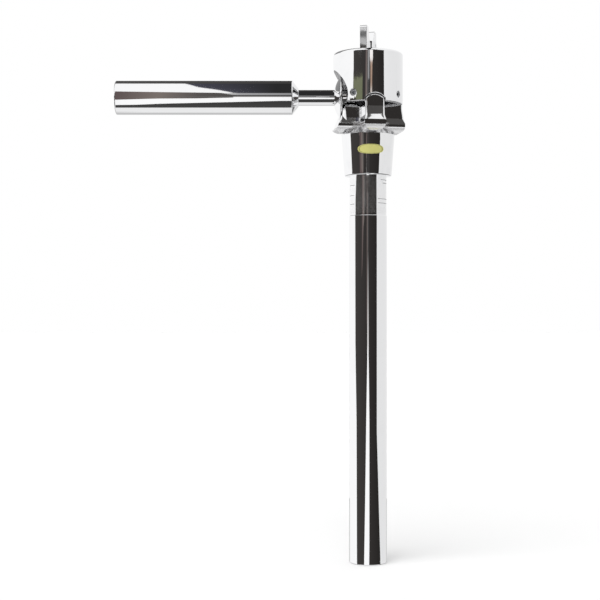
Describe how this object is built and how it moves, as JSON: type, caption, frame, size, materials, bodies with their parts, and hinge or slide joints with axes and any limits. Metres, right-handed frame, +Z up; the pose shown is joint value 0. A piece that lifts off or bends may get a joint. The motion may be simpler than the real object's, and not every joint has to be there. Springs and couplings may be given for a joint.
{
  "type": "cymbal boom stand upper section",
  "caption": "Chrome upper section of a cymbal boom stand: plain tube, four-armed head with a wing-screw ball joint, and a short boom rod carrying a sliding cylindrical counterweight.",
  "frame": {"origin": "centre of the tube's open lower end", "axes": "+Z up along the tube; the boom and its counterweight point along -X; -Y is the side the picture shows"},
  "size_m": [0.1952, 0.0496, 0.3601],
  "materials": {
    "chrome": "bright plated, faint scuffs",
    "plain_steel": "zinc-grey fasteners",
    "brass": "turned",
    "nylon_white": "moulded nylon",
    "nylon_black": "moulded glass-filled nylon",
    "clear_film": "clear adhesive film with plain printed rules",
    "yellow_vinyl": "printed vinyl, plain border"
  },
  "bodies": {
    "stand_top": {"down_tube": "chrome", "tube_film": "clear_film", "base_casting": "chrome", "oval_sticker": "yellow_vinyl", "collar_pin": "plain_steel", "head_cup": "chrome", "cup_screws": "plain_steel", "screw_bush": "brass"},
    "pad": {"brake_pad": "nylon_white"},
    "wing_screw": {"wing_shaft": "chrome", "wing_handle": "chrome", "wing_pin": "plain_steel"},
    "seat": {"seat_ring": "nylon_white"},
    "ball": {"joint_ball": "nylon_black"},
    "boom": {"boom_sleeve": "chrome", "sleeve_washer": "plain_steel", "sleeve_clip": "plain_steel", "boom_rod": "chrome", "rod_pin": "plain_steel", "end_washer": "plain_steel", "end_screw": "plain_steel"},
    "weight": {"counterweight": "chrome", "weight_screw": "plain_steel", "weight_pad": "brass"}
  },
  "joints": [
    {"name": "wing_lift", "type": "slide", "parent": "stand_top", "child": "pad", "axis": [0, 0, 1], "range_m": [-0.00016, 0.00109]},
    {"name": "wing_turn", "type": "hinge", "parent": "pad", "child": "wing_screw", "pos_m": [0, 0, 0.3135], "axis": [0, 0, 1], "range_deg": [-45, 315]},
    {"name": "boom_swing", "type": "hinge", "parent": "stand_top", "child": "seat", "pos_m": [0, 0, 0.3135], "axis": [0, 0, 1], "range_deg": [-5, 5]},
    {"name": "boom_tilt", "type": "hinge", "parent": "seat", "child": "ball", "pos_m": [0, 0, 0.3135], "axis": [0, 1, 0], "range_deg": [-5, 14]},
    {"name": "boom_roll", "type": "hinge", "parent": "ball", "child": "boom", "pos_m": [0, 0, 0.3135], "axis": [1, 0, 0], "continuous": true},
    {"name": "weight_slide", "type": "slide", "parent": "boom", "child": "weight", "axis": [1, 0, 0], "range_m": [0, 0.02]}
  ],
  "couplings": [
    {"joint": "wing_turn", "follows": "wing_lift", "rad_per_m": 5026.5}
  ]
}
